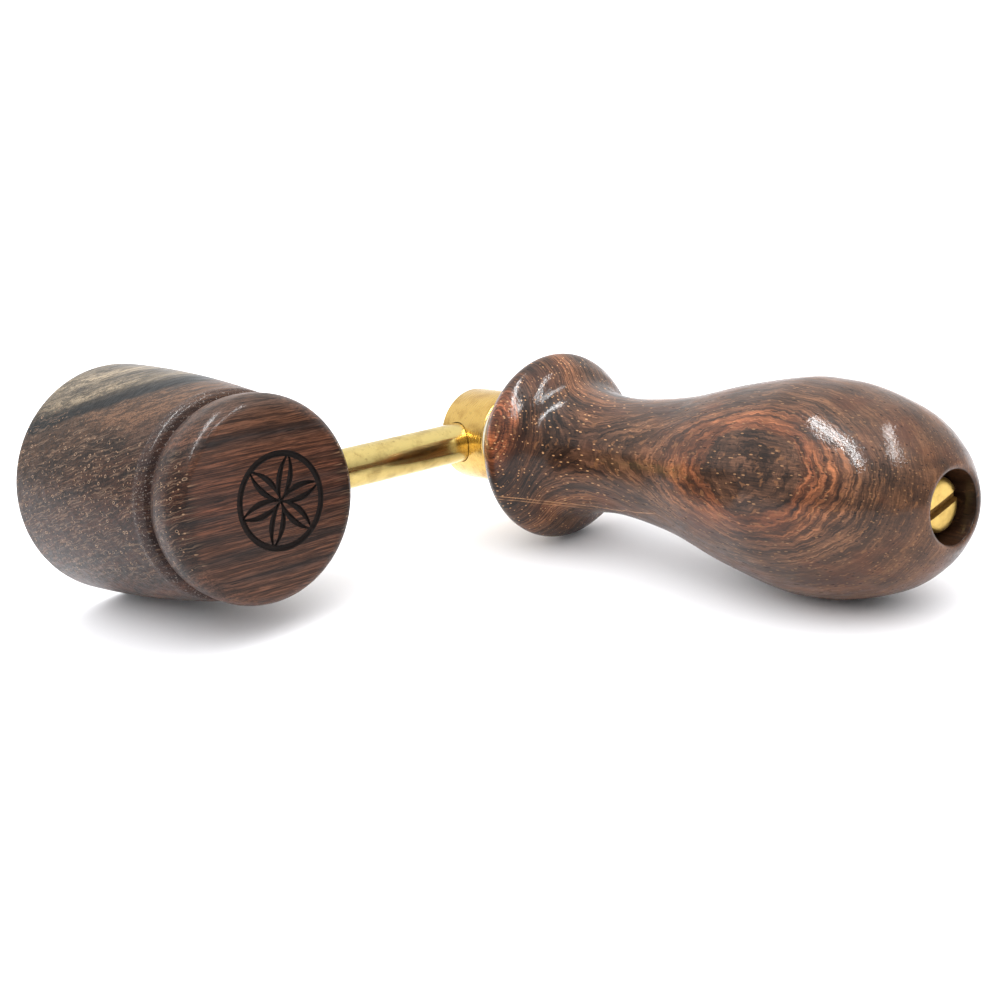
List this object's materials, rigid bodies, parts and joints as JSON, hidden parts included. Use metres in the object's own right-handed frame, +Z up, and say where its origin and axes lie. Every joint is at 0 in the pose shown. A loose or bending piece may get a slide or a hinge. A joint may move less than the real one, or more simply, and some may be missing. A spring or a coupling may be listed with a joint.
{
  "type": "clamp crank handle",
  "caption": "Hand crank for a clamp screw: turned hardwood hub on a threaded brass core, round brass arm and a turned hardwood grip that spins on a slotted screw.",
  "frame": {"origin": "middle of the crank's footprint on the surface that it lies on", "axes": "+Z up; the arm runs towards +X from the hub; the hub's head and the end of the grip face -Y; the crank lies on the hub's back rim, the grip's flange and the grip's belly"},
  "size_m": [0.1034, 0.1578, 0.0456],
  "materials": {
    "hub_wood": "satin",
    "core_brass": "satin",
    "screw_steel": "satin",
    "arm_brass": "polished",
    "collar_brass": "gloss",
    "washer_nylon": "satin",
    "grip_wood": "satin",
    "bush_brass": "satin",
    "head_washer_brass": "satin",
    "axle_brass": "gloss"
  },
  "bodies": {
    "crank": {"hub": "hub_wood", "hub_core": "core_brass", "arm_grub_screw": "screw_steel", "arm": "arm_brass", "collar": "collar_brass", "thrust_washer": "washer_nylon", "head_washer": "head_washer_brass", "axle_screw": "axle_brass"},
    "grip": {"grip": "grip_wood", "bush_back": "bush_brass", "bush_front": "bush_brass"}
  },
  "joints": [
    {"name": "grip_spin", "type": "hinge", "parent": "crank", "child": "grip", "pos_m": [0.03287, -0.02397, 0.01862], "axis": [0.0008, -1, 0.008], "continuous": true}
  ]
}
